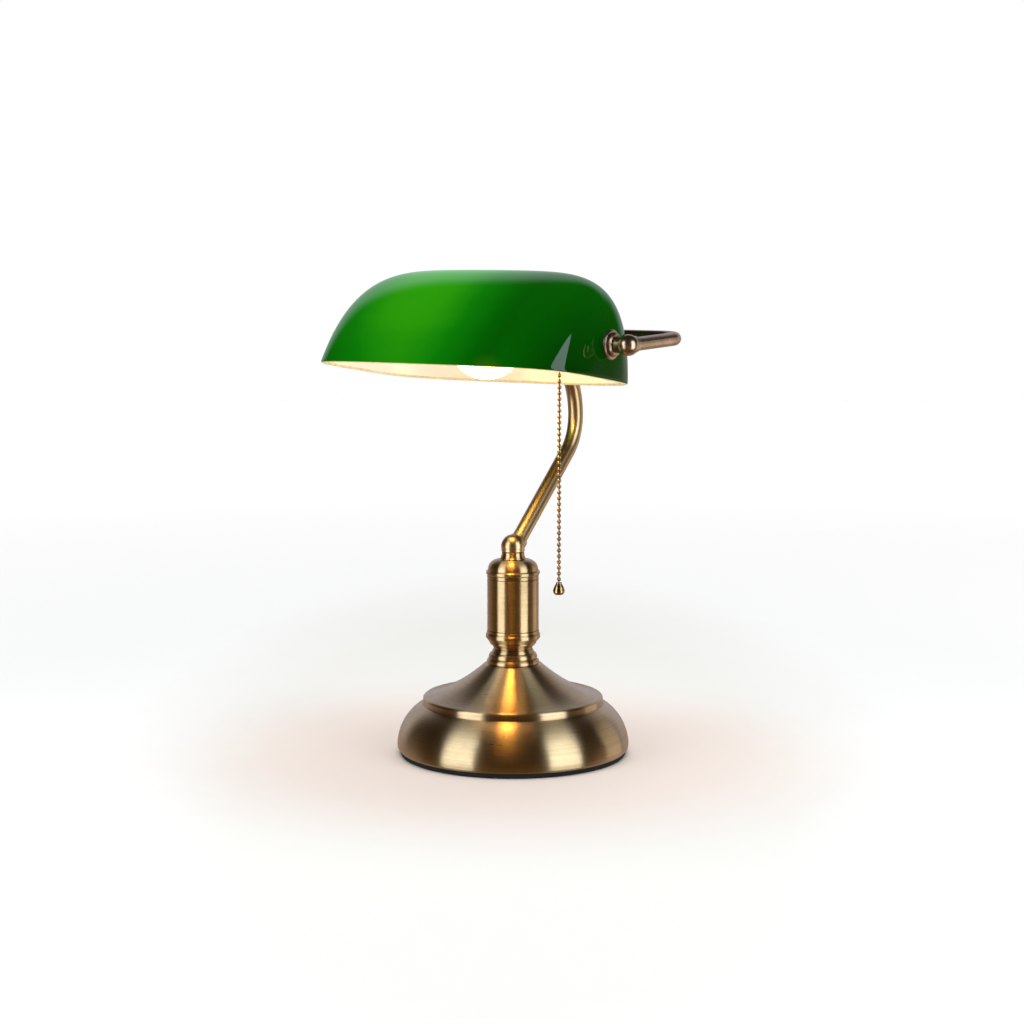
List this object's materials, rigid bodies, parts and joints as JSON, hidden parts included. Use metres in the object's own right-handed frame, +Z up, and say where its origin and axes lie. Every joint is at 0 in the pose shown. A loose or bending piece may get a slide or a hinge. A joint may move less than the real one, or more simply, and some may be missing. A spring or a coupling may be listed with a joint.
{
  "type": "banker desk lamp",
  "caption": "Desk lamp with a round weighted brass base and column, a bent arm and yoke, and a long tilting green glass shade over a pull-chain lamp holder.",
  "frame": {"origin": "centre of the base's underside, on the surface that the lamp stands on", "axes": "+Z up the column; +X along the shade towards the lamp holder and its pull chain; -Y towards the user, +Y towards the bent arm"},
  "size_m": [0.273, 0.2225, 0.3754],
  "materials": {
    "brass": "brushed antique",
    "dark_brass": "dark antique",
    "chain_brass": "polished",
    "steel": "zinc plated",
    "nickel": "nickel plated",
    "iron": "as cast",
    "foam": "matte",
    "rubber": "matte",
    "black_plastic": "moulded",
    "green_glass": "cased glass, polished green outside and white opal inside",
    "bulb": "frosted, lit"
  },
  "bodies": {
    "stand": {"foot_pad": "foam", "base_plate": "steel", "base_weight": "iron", "base_cover": "brass", "cord_bushing": "black_plastic", "rod_washer": "steel", "rod_nut": "steel", "centre_rod": "steel", "neck_foot": "brass", "neck_spool": "brass", "column_cup": "brass", "column_tube": "brass", "column_cap": "brass", "arm_collar": "brass", "arm_elbow": "brass", "arm_tube": "brass", "yoke_hub": "brass", "yoke_tube": "dark_brass", "yoke_elbow_right": "dark_brass", "pivot_stem_right": "steel", "outer_flange_right": "dark_brass", "inner_washer_right": "dark_brass", "lock_nut_right": "dark_brass", "yoke_elbow_left": "dark_brass", "pivot_stem_left": "steel", "outer_flange_left": "dark_brass", "inner_washer_left": "dark_brass", "lock_nut_left": "dark_brass", "socket_cap": "brass", "socket_shell": "brass", "socket_insulator": "black_plastic", "screw_shell": "nickel", "centre_contact": "chain_brass", "bulb_cap": "nickel", "bulb_glass": "bulb", "chain_guide": "brass"},
    "shade": {"shade_glass": "green_glass", "outer_rubber_right": "rubber", "inner_rubber_right": "rubber", "outer_rubber_left": "rubber", "inner_rubber_left": "rubber"},
    "switch": {"switch_link": "chain_brass"},
    "chain_link": {"chain_top_link": "chain_brass"},
    "chain": {"pull_chain": "chain_brass", "chain_bell": "chain_brass"}
  },
  "joints": [
    {"name": "shade_tilt", "type": "hinge", "parent": "stand", "child": "shade", "pos_m": [0, -0.0468, 0.3225], "axis": [1, 0, 0], "range_deg": [-35, 45]},
    {"name": "switch_pull", "type": "slide", "parent": "stand", "child": "switch", "axis": [0, 0, -1], "range_m": [0, 0.006], "stiffness_N_per_m": 600},
    {"name": "chain_swing_sideways", "type": "hinge", "parent": "switch", "child": "chain_link", "pos_m": [0.071, -0.0468, 0.3021], "axis": [0, 1, 0], "range_deg": [-20, 20]},
    {"name": "chain_swing_forward", "type": "hinge", "parent": "chain_link", "child": "chain", "pos_m": [0.071, -0.0468, 0.2971], "axis": [1, 0, 0], "range_deg": [-25, 25]}
  ]
}
